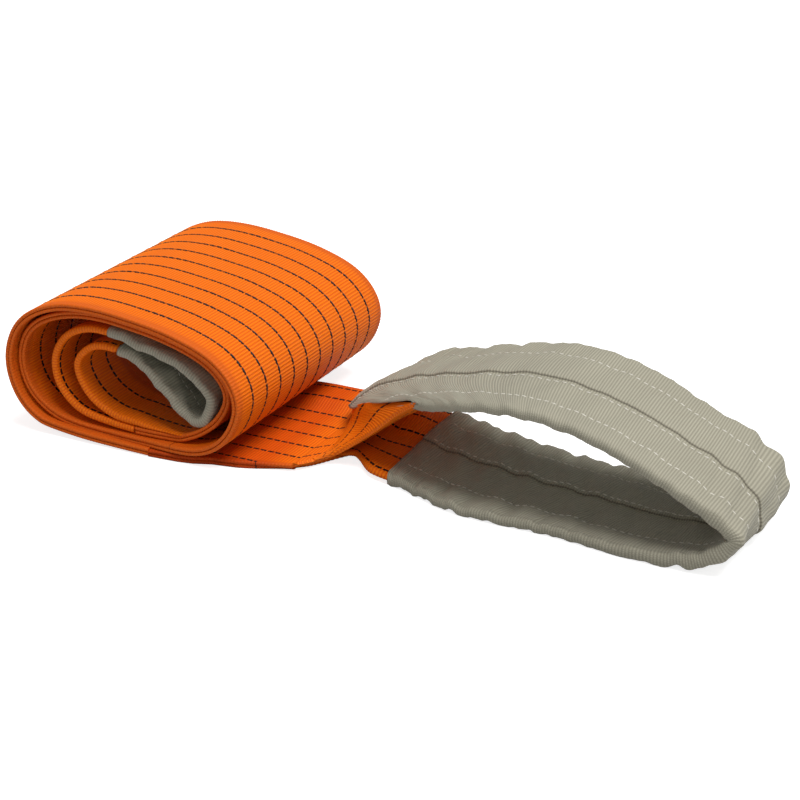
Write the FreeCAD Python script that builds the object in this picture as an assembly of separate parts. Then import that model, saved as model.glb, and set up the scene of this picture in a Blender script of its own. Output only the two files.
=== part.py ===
import FreeCAD, Part
import math
import os

# Flat duplex webbing lifting sling, 300 mm wide, rolled up with one eye stored in the core
# and one eye lying open. Millimetres, +Z up, +X from the roll towards the tip of the open eye,
# Y across the webbing. Every route is first laid out with X from the right side of the roll.

# driving sizes: webbing
WEBBING_WIDTH = 300.0
PLY = 3.7                 # thickness of one ply of webbing
PLY_GAP = 0.3             # air between two plies that lie on each other
LAYER_GAP = 0.3           # air between one turn of the roll and the next
TURN_STEP = 8.0           # how far each turn creeps sideways
CORE_LIFT = 0.6           # the core rides up on the bend of the turn below it
MARKER_COUNT = 10         # one woven line for each tonne
MARKER_WIDTH = 1.6
MARKER_RISE = 0.3

# driving sizes: eyes and sleeves
EYE_WIDTH = 150.0         # webbing folded to half its width
SLEEVE_WALL = 1.4
SLEEVE_EASE = 0.3         # air between the sleeve and the folded webbing
STORED_EYE_SETBACK = 12.0
EYE_YAW = -6.5            # degrees, the open eye lies a little askew
EYE_CROTCH_Y = 124.0      # where the open eye's centre line meets the tail

# driving sizes: tail
TAIL_HINGE_X = 4.0
EYE_HINGE_X = 50.0
HINGE_CLEARANCE = 0.4
TAIL_NEAR_EDGE = 14.0
TAIL_WIDTH = 208.0        # after the far edge has been folded in
FAR_FLAP = 52.0
FAR_RAMP = 30.0           # the upper ply climbs over the far flaps within this
NARROW_START = -78.0      # where the bottom run starts to narrow to the tail
NARROW_END = -44.0
NEAR_NARROW_START = -60.0
NEAR_NARROW_END = -12.0
BEYOND = 1.0              # how far a cutting shape reaches past what it cuts

# driving sizes: threads and label
THREAD = 1.2              # width of a row of sewing thread
THREAD_RISE = 0.5
SEAM_SPACING = 48.0       # between the rows along the sleeve
EDGE_SEAM_INSET = 6.0
CROTCH_ROWS = 5
CROTCH_PITCH = 12.0
LABEL_WIDTH = 34.0
LABEL_LENGTH = 90.0
LABEL_WALL = 0.5
LABEL_HEM = 4.0
LABEL_INSET = 8.0         # from the crotch of the stored eye

DUPLEX = 2 * PLY + PLY_GAP
HALF = DUPLEX / 2
RISE = DUPLEX + LAYER_GAP

CORE_END = -130.0         # where the core's plies part into the legs of the stored eye

# routes of the middle of a duplex layer, seen from the near edge: (x, z). The corners inside
# the right bend step in by RISE for each layer of webbing round them.
BOTTOM_1 = HALF
BOTTOM_2 = BOTTOM_1 + RISE
BOTTOM_3 = BOTTOM_2 + RISE + CORE_LIFT
ROUTE = [
    (TAIL_HINGE_X - HINGE_CLEARANCE, BOTTOM_1), (-216, BOTTOM_1), (-262, 27), (-277, 74), (-262, 118),
    (-220, 142), (-166, 147), (-84, 137), (-26, 116), (0, 80), (-12, 40), (-42, BOTTOM_2 + 4),
    (-84, BOTTOM_2), (-208, BOTTOM_2), (-251, 34), (-267, 74), (-252, 113), (-214, 132), (-166, 137.5),
    (-86, 127), (-38, 107), (-1 - 2 * RISE, 78), (-16 - 2 * RISE, 48), (-53, BOTTOM_3 + 11),
    (-73, BOTTOM_3 + 2), (-81, BOTTOM_3), (CORE_END, BOTTOM_3),
]
STRETCHES = [             # first corner, last corner and sideways creep of each turn
    (0, 12, 0.0),
    (13, 20, TURN_STEP),
    (21, len(ROUTE) - 1, 1.5 * TURN_STEP),
]

# route of the folded webbing of the stored eye, from the outer leg round the tip to the inner leg
STORED_ROUTE = [
    (CORE_END - HINGE_CLEARANCE, BOTTOM_3), (-186, BOTTOM_3 + 3), (-217, 42), (-229, 74), (-215, 106),
    (-184, 122), (-150, 120), (-104, 140 - 4 * RISE), (-62, 126 - 4 * RISE), (-7 - 4 * RISE, 73),
    (-13 - 4 * RISE, 48), (-64, 8 + 4 * RISE), (-80, 22 + 4 * RISE),
    (-106, 84), (-148, 105), (-180, 104), (-203, 78), (-184, 44), (-158, BOTTOM_3 + RISE + 2),
    (CORE_END - HINGE_CLEARANCE, BOTTOM_3 + RISE + 0.4),
]
STORED_SLEEVE = (6, 15)   # the corners of STORED_ROUTE between which the sleeve lies

# route of the folded webbing of the open eye, in the upright plane along it: (along, z)
LEG_Z = SLEEVE_WALL + SLEEVE_EASE + HALF
EYE_ROUTE = [
    (-40, LEG_Z + RISE + 5), (-4, LEG_Z + RISE + 9), (30, 58), (88, 82), (165, 108), (248, 122), (340, 103),
    (422, 73), (461, 47), (438, 12), (384, LEG_Z), (260, LEG_Z), (130, LEG_Z), (60, LEG_Z), (-40, LEG_Z),
]
EYE_SLEEVE = (2, 13)      # the corners of EYE_ROUTE between which the sleeve lies
EYE_LIFTS = 9             # up to this corner the outer face is clear of the floor


def unit(a, b):
    length = math.hypot(b[0] - a[0], b[1] - a[1])
    return (b[0] - a[0]) / length, (b[1] - a[1]) / length


def shifted(point, direction, distance):
    return point[0] + direction[0] * distance, point[1] + direction[1] * distance


def left_of(direction):
    return -direction[1], direction[0]


def point3(p):
    return FreeCAD.Vector(p[0], 0, p[1])


def middle(a, b):
    return (a[0] + b[0]) / 2, (a[1] + b[1]) / 2


def offset_edges(route, offset, first, last):
    """Edges of the rounded route, moved to its left by offset, from corner first to corner last."""
    def end_point(i, outward):
        ends_here = i in (0, len(route) - 1)
        beside = i - outward if ends_here else i + outward
        a, b = route[min(i, beside)], route[max(i, beside)]
        return shifted(route[i] if ends_here else middle(a, b), left_of(unit(a, b)), offset)

    here = end_point(first, -1)
    edges = []
    for i in range(max(first, 1), min(last, len(route) - 2) + 1):
        a, b, c = route[i - 1], route[i], route[i + 1]
        d1, d2 = unit(a, b), unit(b, c)
        turn = math.atan2(d1[0] * d2[1] - d1[1] * d2[0], d1[0] * d2[0] + d1[1] * d2[1])
        run = min(math.dist(a, b), math.dist(b, c))
        reach = 0.48 * run
        start, stop = shifted(b, d1, -reach), shifted(b, d2, reach)
        if abs(turn) < math.radians(0.5):
            continue
        side = math.copysign(1, turn)
        radius = reach / math.tan(abs(turn) / 2)
        centre = shifted(start, left_of(d1), side * radius)
        towards = unit(centre, b)
        p = shifted(start, left_of(d1), offset)
        q = shifted(stop, left_of(d2), offset)
        m = shifted(centre, towards, radius - side * offset)
        edges.append(Part.LineSegment(point3(here), point3(p)).toShape())
        edges.append(Part.Arc(point3(p), point3(m), point3(q)).toShape())
        here = q
    edges.append(Part.LineSegment(point3(here), point3(end_point(last, 1))).toShape())
    return edges


def band(route, low, high, y0, y1, first=0, last=None):
    """A strip between two offsets of a route, from y0 to y1. Positive offsets are outside the turns."""
    last = len(route) - 1 if last is None else last
    outer = offset_edges(route, high, first, last)
    inner = offset_edges(route, low, first, last)
    ends = [
        Part.LineSegment(outer[0].Vertexes[0].Point, inner[0].Vertexes[0].Point).toShape(),
        Part.LineSegment(outer[-1].Vertexes[-1].Point, inner[-1].Vertexes[-1].Point).toShape(),
    ]
    wire = Part.Wire(Part.__sortEdges__(outer + inner + ends))
    solid = Part.Face(wire).extrude(FreeCAD.Vector(0, y1 - y0, 0))
    solid.translate(FreeCAD.Vector(0, y0, 0))
    return solid


def slab(outline, z0, z1):
    """An upright prism on a plan outline of (x, y) points."""
    points = [FreeCAD.Vector(x, y, z0) for x, y in outline]
    return Part.Face(Part.makePolygon(points + points[:1])).extrude(FreeCAD.Vector(0, 0, z1 - z0))


def along_tail(outline, x0, x1):
    """A prism along X on an outline of (y, z) points."""
    points = [FreeCAD.Vector(x0, y, z) for y, z in outline]
    return Part.Face(Part.makePolygon(points + points[:1])).extrude(FreeCAD.Vector(x1 - x0, 0, 0))


def sleeve(route, y0, y1, first, last):
    inner = HALF + SLEEVE_EASE
    outer = inner + SLEEVE_WALL
    reach = SLEEVE_EASE + SLEEVE_WALL
    skin = band(route, -outer, outer, y0 - reach, y1 + reach, first, last)
    return skin.cut(band(route, -inner, inner, y0 - SLEEVE_EASE, y1 + SLEEVE_EASE, first, last))


def seam_row(route, y, first, last, outer_last):
    """One row of thread on both faces of a sleeve; on the outer face it stops at outer_last."""
    face = HALF + SLEEVE_EASE + SLEEVE_WALL
    near, far = y - THREAD / 2, y + THREAD / 2
    outer = band(route, face, face + THREAD_RISE, near, far, first, outer_last)
    inner = band(route, -face - THREAD_RISE, -face, near, far, first, last)
    return Part.makeCompound(outer.Solids + inner.Solids)


def narrowed(shape):
    """Takes off the corners of the bottom run, where the webbing narrows to the tail."""
    far, end, out = TAIL_NEAR_EDGE + TAIL_WIDTH, TAIL_HINGE_X + BEYOND, WEBBING_WIDTH + BEYOND
    far_corner = [(NARROW_START, out), (NARROW_END, far), (end, far), (end, out)]
    near_corner = [(NEAR_NARROW_START, -BEYOND), (NEAR_NARROW_END, TAIL_NEAR_EDGE), (end, TAIL_NEAR_EDGE),
                   (end, -BEYOND)]
    for corner in (far_corner, near_corner):
        shape = shape.cut(slab(corner, -BEYOND, DUPLEX))
    return shape


def roll_plies():
    """The plies of the outer turn, the second turn and the core's half turn."""
    made = {}
    for name, (first, last, creep) in zip(("outer_turn", "second_turn", "core_turn"), STRETCHES):
        y0, y1 = creep, creep + WEBBING_WIDTH
        made[name + "_outer_ply"] = band(ROUTE, HALF - PLY, HALF, y0, y1, first, last)
        made[name + "_inner_ply"] = band(ROUTE, -HALF, PLY - HALF, y0, y1, first, last)
    for name in ("outer_turn_outer_ply", "outer_turn_inner_ply"):
        made[name] = narrowed(made[name])
    return made


def marker_yarns():
    """The woven lines on the outside of the roll, on the stretch that is clear of the floor."""
    pitch = WEBBING_WIDTH / (MARKER_COUNT + 1)
    lines = []
    for i in range(1, MARKER_COUNT + 1):
        y = i * pitch
        lines.append(band(ROUTE, HALF, HALF + MARKER_RISE, y - MARKER_WIDTH / 2, y + MARKER_WIDTH / 2, 3, 10))
    return Part.makeCompound(lines)


def stored_eye():
    y0 = STORED_EYE_SETBACK
    y1 = y0 + EYE_WIDTH
    first, last = STORED_SLEEVE
    flap = EYE_WIDTH / 2 - PLY_GAP
    rows = [(y0 + y1) / 2 + k * SEAM_SPACING for k in (-1, 0, 1)]
    return {
        "stored_eye_webbing": band(STORED_ROUTE, -HALF, PLY - HALF, y0, y1),
        "stored_eye_near_flap": band(STORED_ROUTE, HALF - PLY, HALF, y0, y0 + flap),
        "stored_eye_far_flap": band(STORED_ROUTE, HALF - PLY, HALF, y1 - flap, y1),
        "stored_eye_sleeve": sleeve(STORED_ROUTE, y0, y1, first, last),
        "stored_eye_seams": Part.makeCompound([seam_row(STORED_ROUTE, y, first, last, last) for y in rows]),
    }


def edge_seams():
    """Rows of thread between the plies, one beside each selvedge."""
    rows = []
    for first, last, creep in STRETCHES:
        for y in (creep + EDGE_SEAM_INSET, creep + WEBBING_WIDTH - EDGE_SEAM_INSET):
            rows.append(band(ROUTE, -PLY_GAP / 2, PLY_GAP / 2, y - THREAD / 2, y + THREAD / 2, first, last))
    return Part.makeCompound([solid for row in rows for solid in narrowed(row).Solids])


def label():
    """The blank identification label, sewn along its ends to the inside of the core turn."""
    x0, y0, z0 = CORE_END + LABEL_INSET, STORED_EYE_SETBACK + EYE_WIDTH + 10, BOTTOM_3 + HALF
    patch = Part.makeBox(LABEL_WIDTH, LABEL_LENGTH, LABEL_WALL, FreeCAD.Vector(x0, y0, z0))
    rows = [
        Part.makeBox(LABEL_WIDTH, THREAD, THREAD_RISE, FreeCAD.Vector(x0, y, z0 + LABEL_WALL))
        for y in (y0 + LABEL_HEM, y0 + LABEL_LENGTH - LABEL_HEM - THREAD)
    ]
    return {"identification_label": patch, "label_stitching": Part.makeCompound(rows)}


def tail():
    """The flat stretch between the roll and the open eye, its edges folded in."""
    x0, x1 = TAIL_HINGE_X + HINGE_CLEARANCE, EYE_HINGE_X - HINGE_CLEARANCE
    y0, far = TAIL_NEAR_EDGE, TAIL_NEAR_EDGE + TAIL_WIDTH
    step = PLY + PLY_GAP
    inner = far - FAR_FLAP
    eye_near = EYE_CROTCH_Y - EYE_WIDTH / 2
    taper = slab([(x0 - BEYOND, y0 - BEYOND), (x1 + BEYOND, y0 - BEYOND), (x1 + BEYOND, eye_near),
                  (24, y0 + 12), (x0 - BEYOND, y0)], -BEYOND, 4 * step + BEYOND)
    upper = [(y0, step), (inner - FAR_RAMP, step), (inner - step, 3 * step), (far, 3 * step),
             (far, 3 * step + PLY), (inner - 1.5 * step, 3 * step + PLY),
             (inner - FAR_RAMP - 3, step + PLY), (y0, step + PLY)]
    flap = [(x1 - 24, eye_near - 26), (x1, eye_near - 1), (x1, inner - 36), (x1 - 8, inner - 60),
            (x1 - 16, 60)]
    pieces = {
        "tail_lower_ply": along_tail([(y0, 0), (far, 0), (far, PLY), (y0, PLY)], x0, x1).cut(taper),
        "tail_upper_ply": along_tail(upper, x0, x1).cut(taper),
        "tail_far_flap_lower": along_tail(
            [(inner, step), (far, step), (far, step + PLY), (inner, step + PLY)], x0, x1),
        "tail_far_flap_upper": along_tail(
            [(inner, 2 * step), (far, 2 * step), (far, 2 * step + PLY), (inner, 2 * step + PLY)], x0, x1),
        "tail_near_flap": slab(flap, 2 * step, 2 * step + PLY).cut(taper),
    }
    end = HALF
    rows = []
    for i in range(CROTCH_ROWS):
        place = FreeCAD.Vector(x0 + end, eye_near + (i + 1) * CROTCH_PITCH, PLY)
        rows.append(Part.makeBox(x1 - x0 - 2 * end, THREAD, PLY_GAP, place))
    pieces["crotch_stitching"] = Part.makeCompound(rows)
    return pieces


def placed_eye(shape):
    """Turns a shape from the upright plane of the open eye to where the eye lies."""
    shape.rotate(FreeCAD.Vector(0, 0, 0), FreeCAD.Vector(0, 0, 1), EYE_YAW)
    shape.translate(FreeCAD.Vector(EYE_HINGE_X, EYE_CROTCH_Y, 0))
    hinge = slab([(-300, -300), (EYE_HINGE_X + HINGE_CLEARANCE, -300), (EYE_HINGE_X + HINGE_CLEARANCE, 600),
                  (-300, 600)], -50, 400)
    return shape.cut(hinge)


def open_eye():
    y0, y1 = -EYE_WIDTH / 2, EYE_WIDTH / 2
    flap = EYE_WIDTH / 2 - PLY_GAP
    pieces = {
        "open_eye_webbing": band(EYE_ROUTE, -HALF, PLY - HALF, y0, y1),
        "open_eye_near_flap": band(EYE_ROUTE, HALF - PLY, HALF, y0, y0 + flap),
        "open_eye_far_flap": band(EYE_ROUTE, HALF - PLY, HALF, y1 - flap, y1),
        "open_eye_sleeve": sleeve(EYE_ROUTE, y0, y1, *EYE_SLEEVE),
    }
    for name, k in (("near", -1), ("centre", 0), ("far", 1)):
        pieces[f"open_eye_{name}_seam"] = seam_row(EYE_ROUTE, k * SEAM_SPACING, *EYE_SLEEVE, EYE_LIFTS)
    return {name: placed_eye(shape) for name, shape in pieces.items()}


def centred_box(shapes):
    box = FreeCAD.BoundBox()
    for shape in shapes:
        box.add(shape.BoundBox)
    return box


def main():
    os.makedirs("parts", exist_ok=True)
    pieces = {}
    for group in (roll_plies(), stored_eye(), tail(), open_eye()):
        pieces.update(group)
    pieces["marker_yarns"] = marker_yarns()
    pieces["edge_seams"] = edge_seams()
    pieces.update(label())
    box = centred_box(pieces.values())
    move = FreeCAD.Vector(-(box.XMin + box.XMax) / 2, -(box.YMin + box.YMax) / 2, -box.ZMin)
    for name, shape in pieces.items():
        shape.translate(move)
        shape.exportStep(f"parts/{name}.step")
        print(name, shape.isValid(), len(shape.Solids), round(shape.Volume))
    print("moved by", tuple(round(v, 3) for v in move), "size", box.XLength, box.YLength, box.ZLength)


main()
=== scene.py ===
import bmesh
import bpy
import math
import numpy as np
from mathutils import Matrix, Vector


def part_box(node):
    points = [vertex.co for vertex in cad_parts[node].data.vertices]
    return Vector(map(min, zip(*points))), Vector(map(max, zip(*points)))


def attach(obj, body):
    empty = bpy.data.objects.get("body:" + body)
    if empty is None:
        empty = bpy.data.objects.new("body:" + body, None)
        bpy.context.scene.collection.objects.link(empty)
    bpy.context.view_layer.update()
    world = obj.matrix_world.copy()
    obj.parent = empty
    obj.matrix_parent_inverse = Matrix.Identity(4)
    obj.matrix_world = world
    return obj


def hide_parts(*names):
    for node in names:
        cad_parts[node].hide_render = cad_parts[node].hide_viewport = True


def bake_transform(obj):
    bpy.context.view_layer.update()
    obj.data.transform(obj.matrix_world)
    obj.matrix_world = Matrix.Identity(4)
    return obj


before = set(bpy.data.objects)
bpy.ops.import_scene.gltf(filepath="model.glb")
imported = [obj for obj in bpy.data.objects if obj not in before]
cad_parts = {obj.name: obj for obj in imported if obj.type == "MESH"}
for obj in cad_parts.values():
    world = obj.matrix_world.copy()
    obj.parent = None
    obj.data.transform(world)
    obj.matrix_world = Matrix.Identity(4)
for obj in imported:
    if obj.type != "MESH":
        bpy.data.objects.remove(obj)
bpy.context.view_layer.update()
print("frame loaded")

# Shapes are laid out in millimetres from the right side of the roll, its near selvedge and the floor.
# tailStart is the lowest corner of the tail's lower ply in that layout.
tailStart = np.array((4.4, 14.0, 0.0))
shift = np.array(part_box("tail_lower_ply")[0]) * 1000 - tailStart
webbing = {"width": 300.0, "ply": 3.7, "plyLift": 2.0, "rib": 3.3, "ribHeight": 0.42, "lines": 10,
           "dash": (6.9, 2.9, 1.0), "dashPitch": 8.4, "printedLine": 0.0029}
linePitch = webbing["width"] / (webbing["lines"] + 1)


def toFrame(points):
    return (np.asarray(points, float) + shift) * 0.001


def smoothStep(low, high, values):
    t = np.clip((np.asarray(values, float) - low) / (high - low), 0, 1)
    return t * t * (3 - 2 * t)


def softWaves(u, v, seed, longest=90.0):
    # a few seeded waves added together, from -1 to 1, for the unevenness of handled cloth
    dice = np.random.default_rng(seed)
    total = np.zeros(np.broadcast(u, v).shape)
    for octave in range(4):
        angle, phase = dice.uniform(0, math.pi), dice.uniform(0, 2 * math.pi)
        length = longest / 1.6 ** octave
        run = u * math.cos(angle) + v * math.sin(angle)
        total = total + np.sin(2 * math.pi * run / length + phase) / 1.5 ** octave
    return total / 2.4


# lines and surfaces

def roundedLine(corners, step=0.5):
    # the smooth line that touches the middle of every run between the corners, in even steps
    corners = np.array(corners, float)
    middles = (corners[1:] + corners[:-1]) / 2
    middles[0], middles[-1] = corners[0], corners[-1]
    t = np.linspace(0, 1, 60, endpoint=False)[:, None]
    parts = [(1 - t) ** 2 * a + 2 * t * (1 - t) * b + t ** 2 * c
             for a, b, c in zip(middles[:-1], corners[1:-1], middles[1:])]
    fine = np.vstack(parts + [middles[-1:]])
    run = np.concatenate(([0], np.cumsum(np.linalg.norm(np.diff(fine, axis=0), axis=1))))
    even = np.arange(0, run[-1], step)
    return np.column_stack([np.interp(even, run, fine[:, k]) for k in range(fine.shape[1])]), even


def curveThrough(points, knots):
    # a natural cubic spline through the points
    points, knots = np.array(points, float), np.array(knots, float)
    gap, size = np.diff(knots), len(knots)
    system, right = np.eye(size), np.zeros_like(points)
    for i in range(1, size - 1):
        system[i, i - 1:i + 2] = gap[i - 1], 2 * (gap[i - 1] + gap[i]), gap[i]
        right[i] = 6 * ((points[i + 1] - points[i]) / gap[i] - (points[i] - points[i - 1]) / gap[i - 1])
    bend = np.linalg.solve(system, right)

    def at(u):
        i = np.clip(np.searchsorted(knots, u) - 1, 0, size - 2)
        h, a, b = gap[i][:, None], (knots[i + 1] - u)[:, None], (u - knots[i])[:, None]
        return ((bend[i] * a ** 3 + bend[i + 1] * b ** 3) / (6 * h)
                + (points[i] / h - bend[i] * h / 6) * a + (points[i + 1] / h - bend[i + 1] * h / 6) * b)
    return at


class Loft:
    # a cloth surface through lengthwise guides. u is millimetres along the cloth, a across it
    def __init__(self, guides, across, side=1):
        guides = np.array(guides, float)
        steps = np.linalg.norm(np.diff(guides, axis=1), axis=2).mean(axis=0)
        self.knots = np.concatenate(([0], np.cumsum(steps)))
        self.length, self.side = self.knots[-1], side
        self.guides = [curveThrough(guide, self.knots) for guide in guides]
        self.spread = curveThrough(np.eye(len(guides)), across)

    def middle(self, u, a):
        share = self.spread(a)
        return sum(share[:, k:k + 1] * guide(u) for k, guide in enumerate(self.guides))

    def normal(self, u, a):
        along = self.middle(u + 0.8, a) - self.middle(u - 0.8, a)
        over = self.middle(u, a + 0.8) - self.middle(u, a - 0.8)
        n = np.cross(along, over) * self.side
        return n / np.linalg.norm(n, axis=1)[:, None]

    def place(self, u, a, n):
        return self.middle(u, a) + self.normal(u, a) * n[:, None]


class Roll:
    # the rolled webbing's surface: u is millimetres along the route, a across, n outwards
    def __init__(self, corners, creep):
        self.line, self.run = roundedLine(corners)
        tangent = np.gradient(self.line, axis=0)
        tangent /= np.linalg.norm(tangent, axis=1)[:, None]
        self.out = np.column_stack((-tangent[:, 1], tangent[:, 0]))
        self.length, self.creep = self.run[-1], creep

    def nearest(self, corner):
        return self.run[np.argmin(np.linalg.norm(self.line - np.array(corner), axis=1))]

    def place(self, u, a, n):
        x, z, outX, outZ = (np.interp(u, self.run, values) for values in (*self.line.T, *self.out.T))
        return np.column_stack((x + outX * n, a + self.creep(u, a), z + outZ * n))


# mesh makers

def section(corners, wall, step=5.0, bend=18.0, first=0.0):
    # the closed outline of a strip that follows the corners, as rows of
    # (across, height, place on the cloth, closeness to a selvedge, 1 on a broad face)
    line, run = roundedLine(corners, 0.25)
    tangent = np.gradient(line, axis=0)
    heading = np.unwrap(np.arctan2(tangent[:, 1], tangent[:, 0]))
    turned = np.abs(np.diff(heading)) / math.radians(bend)
    effort = np.concatenate(([0], np.cumsum(np.diff(run) / step + turned)))
    marks = np.linspace(0, effort[-1], int(effort[-1]) + 2)
    t = np.interp(marks, effort, run)
    t = np.unique(np.concatenate((t, [1.2, 3, 8, run[-1] - 1.2, run[-1] - 3, run[-1] - 8])))
    a, n = np.interp(t, run, line[:, 0]), np.interp(t, run, line[:, 1])
    turn = np.interp(t, run, heading)
    half = wall / 2
    edge = 1 - smoothStep(6, 10, np.minimum(t, run[-1] - t))

    def faceRow(i, side):
        off = side * half
        return (a[i] - math.sin(turn[i]) * off, n[i] + math.cos(turn[i]) * off, t[i], edge[i], 1)
    rows = [faceRow(i, 1) for i in range(len(t))]
    back = [faceRow(i, -1) for i in reversed(range(len(t)))]

    def cap(i, start, sign):
        return [(a[i] + math.cos(start - k * math.pi / 4) * half * sign * 0.8,
                 n[i] + math.sin(start - k * math.pi / 4) * half * sign, t[i], 1.0, 0) for k in (1, 2, 3)]
    ring = rows + cap(-1, turn[-1] + math.pi / 2, 1) + back + cap(0, turn[0] + math.pi / 2, -1)
    ring = np.array(ring)
    ring[:, 2] += first
    return ring


def strap(name, stations, ring, place, ribs=0.0, uneven=0.0, seed=1, flat=None, ringAt=None, painted_shade=None):
    # a closed piece of cloth: the ring is swept through the stations. flat gives the place on the cloth
    # for the pattern, ringAt may change the ring along the way and the last argument gives painted shade,
    # darkening the colour
    alongCount, ringCount = len(stations), len(ring)
    grid = bmesh.new()
    bmesh.ops.create_grid(grid, x_segments=alongCount - 1, y_segments=ringCount, size=1.0)
    mesh = bpy.data.meshes.new(name)
    grid.to_mesh(mesh)
    grid.free()
    co = np.empty(len(mesh.vertices) * 3, np.float32)
    mesh.vertices.foreach_get("co", co)
    co = co.reshape(-1, 3)
    i = np.rint((co[:, 0] + 1) / 2 * (alongCount - 1)).astype(int)
    j = np.rint((co[:, 1] + 1) / 2 * ringCount).astype(int)
    u = np.asarray(stations, float)[i]
    rows = ring[j % ringCount] if ringAt is None else ringAt(u, j % ringCount)
    a, n, t, edge, face = rows[:, 0], rows[:, 1].copy(), rows[:, 2], rows[:, 3], rows[:, 4]
    side = np.where(j % ringCount < ringCount // 2, 1.0, -1.0)
    if ribs:
        wave = np.cos(2 * math.pi * u / webbing["rib"]) * (0.75 + 0.25 * softWaves(u, t, seed + 50, 60))
        n += side * ribs * wave * face
    if uneven:
        n += uneven * softWaves(u, t, seed)
    spots = place(u, a, n)
    spots[:, 2] = np.maximum(spots[:, 2], 0.05)  # nothing sinks into the floor
    points = toFrame(spots)
    mesh.vertices.foreach_set("co", points.astype(np.float32).ravel())
    alongFlat, acrossFlat = (u, t) if flat is None else flat(u, t, points)
    loops = np.empty(len(mesh.loops), np.int32)
    mesh.loops.foreach_get("vertex_index", loops)
    layer = mesh.uv_layers.new(name="cloth")
    flatPlaces = np.column_stack((alongFlat, acrossFlat))[loops] * 0.001
    layer.data.foreach_set("uv", flatPlaces.astype(np.float32).ravel())
    rim = mesh.attributes.new("selvedge", "FLOAT", "POINT")
    rim.data.foreach_set("value", edge.astype(np.float32))
    # painted shade: a value per point that darkens the colour where shade falls
    paintedShade = mesh.attributes.new("painted_shade", "FLOAT", "POINT")
    paintedShade.data.foreach_set("value", (painted_shade(u) if painted_shade else 0 * u).astype(np.float32))
    closed = bmesh.new()
    closed.from_mesh(mesh)
    bmesh.ops.remove_doubles(closed, verts=closed.verts, dist=1e-6)
    bmesh.ops.holes_fill(closed, edges=[e for e in closed.edges if e.is_boundary], sides=0)
    bmesh.ops.recalc_face_normals(closed, faces=closed.faces)
    for f in closed.faces:
        f.smooth = len(f.verts) < 5
    closed.to_mesh(mesh)
    closed.free()
    piece = bpy.data.objects.new(name, mesh)
    bpy.context.collection.objects.link(piece)
    return piece


def beads(name, place, tracks, size, pitch):
    # short rounded stitches laid end to end along tracks of (across, height, first, last)
    one = bmesh.new()
    bmesh.ops.create_uvsphere(one, u_segments=5, v_segments=5, radius=0.5,
                              matrix=Matrix.Rotation(math.pi / 2, 4, "Y"))
    for f in one.faces:
        f.smooth = True
    bead = bpy.data.meshes.new("bead")
    one.to_mesh(bead)
    one.free()
    shape = np.array([v.co for v in bead.vertices]) * np.array(size) * 0.001
    places = []
    for a, n, first, last in tracks:
        centres = first + pitch * (np.arange(int((last - first) / pitch)) + 0.5)

        def at(offset, over=0.0):
            spots = place(centres + offset, np.full(len(centres), a + over), np.full(len(centres), n))
            spots[:, 2] = np.maximum(spots[:, 2], size[2] / 2 + 0.05)
            return toFrame(spots)
        x, y = at(1.0) - at(-1.0), at(0, 1.0) - at(0, -1.0)
        x /= np.linalg.norm(x, axis=1)[:, None]
        z = np.cross(x, y)
        z /= np.linalg.norm(z, axis=1)[:, None]
        axes = np.stack((x, np.cross(z, x), z), axis=1)
        places.append(at(0)[:, None, :] + np.einsum("vk,ckd->cvd", shape, axes))
    places = np.concatenate(places)
    row = bmesh.new()
    for k in range(len(places)):
        row.from_mesh(bead)
    mesh = bpy.data.meshes.new(name)
    row.to_mesh(mesh)
    row.free()
    mesh.vertices.foreach_set("co", places.astype(np.float32).ravel())
    mesh.update()
    bpy.data.meshes.remove(bead)
    piece = bpy.data.objects.new(name, mesh)
    bpy.context.collection.objects.link(piece)
    return piece


# materials

def calc(tree, operation, *values):
    node = tree.nodes.new("ShaderNodeMath")
    node.operation = operation
    for socket, value in zip(node.inputs, values):
        if isinstance(value, bpy.types.NodeSocket):
            tree.links.new(value, socket)
        else:
            socket.default_value = value
    return node.outputs[0]


def newGroup(name, inputs, outputs):
    tree = bpy.data.node_groups.new(name, "ShaderNodeTree")
    for label, kind, value in inputs:
        socket = tree.interface.new_socket(label, in_out="INPUT", socket_type=kind)
        if value is not None:
            socket.default_value = value
    for label, kind in outputs:
        tree.interface.new_socket(label, in_out="OUTPUT", socket_type=kind)
    return tree, tree.nodes.new("NodeGroupInput").outputs, tree.nodes.new("NodeGroupOutput").inputs


def useGroup(tree, group, values):
    node = tree.nodes.new("ShaderNodeGroup")
    node.node_tree = group
    for label, value in values.items():
        if isinstance(value, bpy.types.NodeSocket):
            tree.links.new(value, node.inputs[label])
        else:
            node.inputs[label].default_value = value
    return node.outputs


def weaveGroup():
    # crosswise ribs with the lengthwise yarns passing over them, and painted shade that darkens their low
    # places. Lengths are in metres
    tree, given, made = newGroup("weave", [
        ("Cloth", "NodeSocketVector", None), ("Rib", "NodeSocketFloat", 0.0033),
        ("Yarn", "NodeSocketFloat", 0.0016)],
        [("Height", "NodeSocketFloat"), ("ValleyShade", "NodeSocketFloat")])
    split = tree.nodes.new("ShaderNodeSeparateXYZ")
    tree.links.new(given["Cloth"], split.inputs[0])
    ribAt = calc(tree, "DIVIDE", split.outputs[0], given["Rib"])
    ribWave = calc(tree, "COSINE", calc(tree, "MULTIPLY", ribAt, 2 * math.pi))
    yarnAt = calc(tree, "ADD", calc(tree, "DIVIDE", split.outputs[1], given["Yarn"]),
                  calc(tree, "MULTIPLY", calc(tree, "FLOOR", calc(tree, "ADD", ribAt, 0.5)), 0.5))
    yarnWave = calc(tree, "ABSOLUTE", calc(tree, "SINE", calc(tree, "MULTIPLY", yarnAt, math.pi)))
    halfRib, halfYarn = calc(tree, "MULTIPLY", ribWave, 0.5), calc(tree, "MULTIPLY", yarnWave, 0.5)
    height = calc(tree, "ADD", halfRib, halfYarn)
    tree.links.new(height, made["Height"])
    # painted shade: lower places of the weave get a darker tone
    tree.links.new(calc(tree, "MULTIPLY_ADD", height, 0.5, 0.25), made["ValleyShade"])
    return tree


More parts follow.
